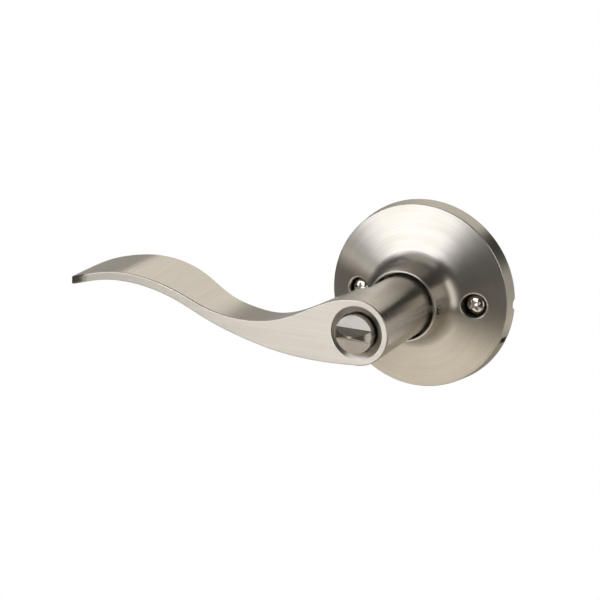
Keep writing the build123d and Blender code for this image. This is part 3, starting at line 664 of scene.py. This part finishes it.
def thread_ring(x, height):
    """One ring of the rolled thread, which runs out towards the tip."""
    fade = min(1.0, (height - SCREW_TIP) / THREAD_PITCH)
    ring = []
    for turn in circle_turns():
        phase = (height / THREAD_PITCH + turn / math.tau) % 1.0
        crest = min(1.0, THREAD_FLANK * min(phase, 1 - phase))
        radius = THREAD_ROOT_R + (THREAD_R - THREAD_ROOT_R) * fade * crest
        ring.append(point(x + radius * math.cos(turn), height, radius * math.sin(turn)))
    return ring


def dome_ring(x, radius, recess_turn):
    """One ring of the domed head, sunk where the recess is."""
    ring = []
    for turn in circle_turns():
        a = turn - math.radians(recess_turn)
        depth = recess_depth(radius * math.cos(a), radius * math.sin(a))
        height = head_height(radius) - depth
        ring.append(point(x + radius * math.cos(turn), height, radius * math.sin(turn)))
    return ring


def make_screw(name, x, recess_turn):
    """One pan-head machine screw with rolled thread."""
    tip_r, tip_top = THREAD_ROOT_R - TIP_CHAMFER, SCREW_TIP + TIP_CHAMFER
    rings = lathe_rings([(0, SCREW_TIP), (tip_r, SCREW_TIP), (THREAD_ROOT_R, tip_top)], SCREW_COLUMNS, x)
    height = tip_top + 0.1
    while height < THREAD_END:
        rings.append(thread_ring(x, height))
        height += THREAD_PITCH / THREAD_STEPS
    rings += lathe_rings([
        (SHANK_R, SHANK_START), (SHANK_R, HEAD_SEAT - 0.01), (HEAD_R - 0.15, HEAD_SEAT),
        (HEAD_R - 0.03, HEAD_SEAT + 0.06), (HEAD_R, HEAD_SEAT + 0.2), (HEAD_R, HEAD_SIDE),
    ], SCREW_COLUMNS, x)
    for step in range(1, DOME_RINGS):
        radius = HEAD_R * math.cos(math.pi / 2 * step / DOME_RINGS)
        rings.append(dome_ring(x, radius, recess_turn))
    rings.append([point(x, HEAD_TOP - RECESS_DEPTH, 0.0)])
    shape = bmesh.new()
    skin(shape, rings)
    finish_piece(name, shape, "rose", "mounting_screws", BRIGHT_NICKEL)


screw_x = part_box("mounting_screws")[1][0] / MM - HEAD_R
make_screw("screw_left", -screw_x, RECESS_TURNS["left"])
make_screw("screw_right", screw_x, RECESS_TURNS["right"])


# ---------------------------------------------------------------- turn button
BUTTON_R = 6.5
BUTTON_FLOOR = 62.0
BUTTON_BACK = 55.0
RIB_HALF_WIDTH = 2.1
RIB_RISE = 3.5
RIB_ARC_R = (BUTTON_R**2 + RIB_RISE**2) / (2 * RIB_RISE)
RIB_FLANK = 0.52               # how far the rib's sides lean in for each millimetre up
RIB_STEPS = 6
RIB_END_SHARE = 0.97           # of the face's half height that the rib fills at its two ends
LOWER_FALL = 0.10              # slope of the face below the rib
FLOOR_STEPS = 10
FACE_HALF_TURN = 89.0          # the face's columns stop just short of its two sides, degrees
BUTTON_COLUMNS = 72
BUTTON_EASE = 0.22
SHANK_COLUMNS = 64
SHANK_PROFILE = [
    (0, 52.0), (2.3, 52.0), (2.3, 44.0), (3.25, 44.0), (3.45, 44.2), (3.45, 48.65), (2.75, 48.65),
    (2.75, 49.35), (3.45, 49.35), (3.45, BUTTON_BACK - 0.01),
]


def button_column(x):
    """Points of the button's face at this x, from its lower edge to its upper edge."""
    edge = math.sqrt(max(0.0, BUTTON_R**2 - x**2))
    rise = math.sqrt(RIB_ARC_R**2 - x**2) - (RIB_ARC_R - RIB_RISE)
    half_width = min(RIB_HALF_WIDTH, RIB_END_SHARE * edge)
    top = max(0.0, half_width - RIB_FLANK * rise)
    upper = [(0.0, rise), (0.5 * top, rise)]
    for i in range(RIB_STEPS + 1):
        upper.append((top + (half_width - top) * i / RIB_STEPS, rise * (1 - i / RIB_STEPS)))
    upper += [(half_width + (edge - half_width) * i / FLOOR_STEPS, 0.0) for i in range(1, FLOOR_STEPS + 1)]
    lower = [(-z, height - LOWER_FALL * max(0.0, z - half_width)) for z, height in reversed(upper[1:])]
    return [point(x, BUTTON_FLOOR + height, z) for z, height in lower + upper]


def make_button():
    """Thumb turn: a round head with an arched rib across it, on a stepped shank."""
    shape = bmesh.new()
    shares = [2.0 * i / BUTTON_COLUMNS - 1.0 for i in range(BUTTON_COLUMNS + 1)]
    turns = [math.radians(FACE_HALF_TURN * share) for share in shares]
    skin(shape, [button_column(BUTTON_R * math.sin(turn)) for turn in turns], closed=False)
    edges = [edge for edge in shape.edges if edge.is_boundary]
    wall = bmesh.ops.extrude_edge_only(shape, edges=edges)["geom"]
    for vertex in (item for item in wall if isinstance(item, bmesh.types.BMVert)):
        vertex.co.y = -BUTTON_BACK * MM
    bmesh.ops.contextual_create(shape, geom=[edge for edge in shape.edges if edge.is_boundary])
    skin(shape, lathe_rings(SHANK_PROFILE, SHANK_COLUMNS))
    finish_piece("thumb_turn", shape, "button", "turn_button", BUTTON_NICKEL, BUTTON_EASE)


make_button()


# ---------------------------------------------------------------- floor
def make_floor():
    """Wide pale floor under the handle; seen directly, it is as white as the studio."""
    grid = bmesh.new()
    bmesh.ops.create_grid(grid, x_segments=FLOOR_CELLS, y_segments=FLOOR_CELLS, size=FLOOR_HALF)
    mesh = bpy.data.meshes.new("floor")
    grid.to_mesh(mesh)
    grid.free()
    floor = bpy.data.objects.new("floor", mesh)
    floor.location.z = FLOOR_Z
    bpy.context.collection.objects.link(floor)
    material = bpy.data.materials.new("pale_floor")
    material.use_nodes = True
    tree = material.node_tree
    shader = tree.nodes["Principled BSDF"]
    shader.inputs["Base Color"].default_value = FLOOR_COLOUR
    shader.inputs["Roughness"].default_value = FLOOR_ROUGHNESS
    white = node(tree, "ShaderNodeEmission")
    white.inputs["Strength"].default_value = BACKDROP
    choose = node(tree, "ShaderNodeMixShader")
    join(tree, node(tree, "ShaderNodeLightPath").outputs["Is Camera Ray"], choose.inputs[0])
    join(tree, shader.outputs[0], choose.inputs[1])
    join(tree, white.outputs[0], choose.inputs[2])
    join(tree, choose.outputs[0], tree.nodes["Material Output"].inputs["Surface"])
    mesh.materials.append(material)


make_floor()
